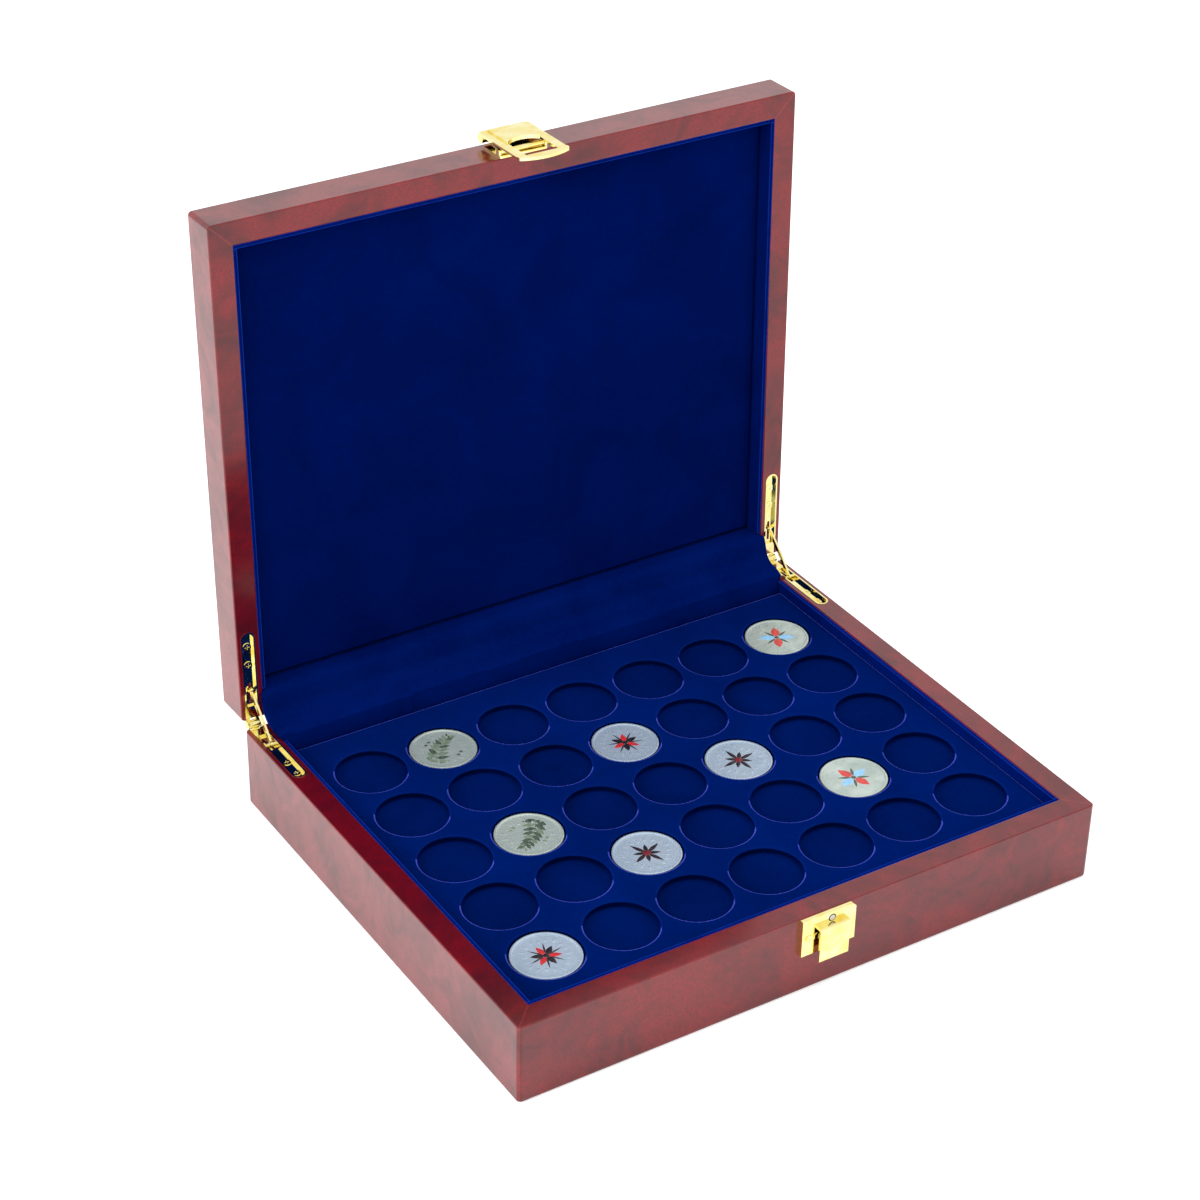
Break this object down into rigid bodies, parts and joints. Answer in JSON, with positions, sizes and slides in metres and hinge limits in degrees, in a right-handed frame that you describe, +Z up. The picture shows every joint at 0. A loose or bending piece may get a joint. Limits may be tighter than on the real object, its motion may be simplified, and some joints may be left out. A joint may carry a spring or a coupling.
{
  "type": "coin display case",
  "caption": "Hinged lacquered-wood display case with a velvet tray of round coin pockets, loose coins, stay hinges on the side rails and a flap latch.",
  "frame": {"origin": "centre of the base box's underside, on the surface it rests on", "axes": "+Z up, +X along the front from left to right, +Y from the latch side to the hinge side; the lid is stored open"},
  "size_m": [0.305, 0.2844, 0.3004],
  "materials": {
    "lacquered_wood": "satin-gloss reddish-brown lacquer with a mottled burl figure",
    "plain_wood": "bare sawn wood",
    "blue_velvet": "deep navy velvet over card",
    "padding_card": "bare card",
    "gilt_metal": "bright polished gilt",
    "coin_silver": "struck coin metal, satin field and bright rim"
  },
  "bodies": {
    "base": {"base_back_wall": "lacquered_wood", "base_bottom_panel": "lacquered_wood", "base_front_wall": "lacquered_wood", "base_left_wall": "lacquered_wood", "base_liner_back": "blue_velvet", "base_liner_front": "blue_velvet", "base_liner_left": "blue_velvet", "base_liner_right": "blue_velvet", "base_right_wall": "lacquered_wood", "catch_plate": "gilt_metal", "catch_rivet": "gilt_metal", "catch_screws": "gilt_metal", "left_hinge_base_leaf": "gilt_metal", "left_hinge_base_screws": "gilt_metal", "left_hinge_pin": "gilt_metal", "left_stay_pin": "gilt_metal", "right_hinge_base_leaf": "gilt_metal", "right_hinge_base_screws": "gilt_metal", "right_hinge_pin": "gilt_metal", "right_stay_pin": "gilt_metal", "tray_backing_board": "blue_velvet", "tray_hole_board": "blue_velvet", "tray_support_strips": "plain_wood", "velvet_hinge_strip": "blue_velvet"},
    "lid": {"left_hinge_lid_leaf": "gilt_metal", "left_hinge_lid_screws": "gilt_metal", "lid_back_wall": "lacquered_wood", "lid_front_wall": "lacquered_wood", "lid_left_wall": "lacquered_wood", "lid_liner_front": "blue_velvet", "lid_liner_left": "blue_velvet", "lid_liner_right": "blue_velvet", "lid_lining_panel": "blue_velvet", "lid_padding_board": "padding_card", "lid_right_wall": "lacquered_wood", "lid_top_panel": "lacquered_wood", "right_hinge_lid_leaf": "gilt_metal", "right_hinge_lid_screws": "gilt_metal", "latch_base_plate": "gilt_metal", "latch_link_pin": "gilt_metal", "latch_screws": "gilt_metal"},
    "latch_link": {"latch_link": "gilt_metal"},
    "latch_flap": {"latch_flap": "gilt_metal", "latch_flap_pin": "gilt_metal"},
    "left_stay": {"left_stay_arm": "gilt_metal", "left_stay_tip_rivet": "gilt_metal"},
    "right_stay": {"right_stay_arm": "gilt_metal", "right_stay_tip_rivet": "gilt_metal"},
    "coin_r1_c2": {"coin_r1_c2": "coin_silver"},
    "coin_r1_c7": {"coin_r1_c7": "coin_silver"},
    "coin_r2_c4": {"coin_r2_c4": "coin_silver"},
    "coin_r3_c2": {"coin_r3_c2": "coin_silver"},
    "coin_r3_c5": {"coin_r3_c5": "coin_silver"},
    "coin_r4_c3": {"coin_r4_c3": "coin_silver"},
    "coin_r4_c6": {"coin_r4_c6": "coin_silver"},
    "coin_r5_c1": {"coin_r5_c1": "coin_silver"}
  },
  "joints": [
    {"name": "lid_hinge", "type": "hinge", "parent": "base", "child": "lid", "pos_m": [0, 0.1275, 0.04075], "axis": [-1, 0, 0], "range_deg": [-91.5, 0], "deforming": ["velvet_hinge_strip"]},
    {"name": "latch_link_hinge", "type": "hinge", "parent": "lid", "child": "latch_link", "pos_m": [0.0038, 0.13702, 0.29549], "axis": [1, 0, 0], "range_deg": [0, 80]},
    {"name": "latch_flap_hinge", "type": "hinge", "parent": "latch_link", "child": "latch_flap", "pos_m": [0.0038, 0.15166, 0.29681], "axis": [-1, 0, 0], "range_deg": [-4.9, 120]},
    {"name": "left_stay_pivot", "type": "hinge", "parent": "base", "child": "left_stay", "pos_m": [-0.14675, 0.1095, 0.0399], "axis": [-1, 0, 0], "range_deg": [-132.47, 0]},
    {"name": "right_stay_pivot", "type": "hinge", "parent": "base", "child": "right_stay", "pos_m": [0.14675, 0.1095, 0.0399], "axis": [-1, 0, 0], "range_deg": [-132.47, 0]},
    {"name": "coin_r1_c2_lift", "type": "slide", "parent": "base", "child": "coin_r1_c2", "axis": [0, 0, 1], "range_m": [0, 0.012]},
    {"name": "coin_r1_c7_lift", "type": "slide", "parent": "base", "child": "coin_r1_c7", "axis": [0, 0, 1], "range_m": [0, 0.012]},
    {"name": "coin_r2_c4_lift", "type": "slide", "parent": "base", "child": "coin_r2_c4", "axis": [0, 0, 1], "range_m": [0, 0.012]},
    {"name": "coin_r3_c2_lift", "type": "slide", "parent": "base", "child": "coin_r3_c2", "axis": [0, 0, 1], "range_m": [0, 0.012]},
    {"name": "coin_r3_c5_lift", "type": "slide", "parent": "base", "child": "coin_r3_c5", "axis": [0, 0, 1], "range_m": [0, 0.012]},
    {"name": "coin_r4_c3_lift", "type": "slide", "parent": "base", "child": "coin_r4_c3", "axis": [0, 0, 1], "range_m": [0, 0.012]},
    {"name": "coin_r4_c6_lift", "type": "slide", "parent": "base", "child": "coin_r4_c6", "axis": [0, 0, 1], "range_m": [0, 0.012]},
    {"name": "coin_r5_c1_lift", "type": "slide", "parent": "base", "child": "coin_r5_c1", "axis": [0, 0, 1], "range_m": [0, 0.012]}
  ],
  "couplings": [
    {"joint": "left_stay_pivot", "follows": "lid_hinge", "ratio": 1.4476},
    {"joint": "right_stay_pivot", "follows": "lid_hinge", "ratio": 1.4476}
  ]
}
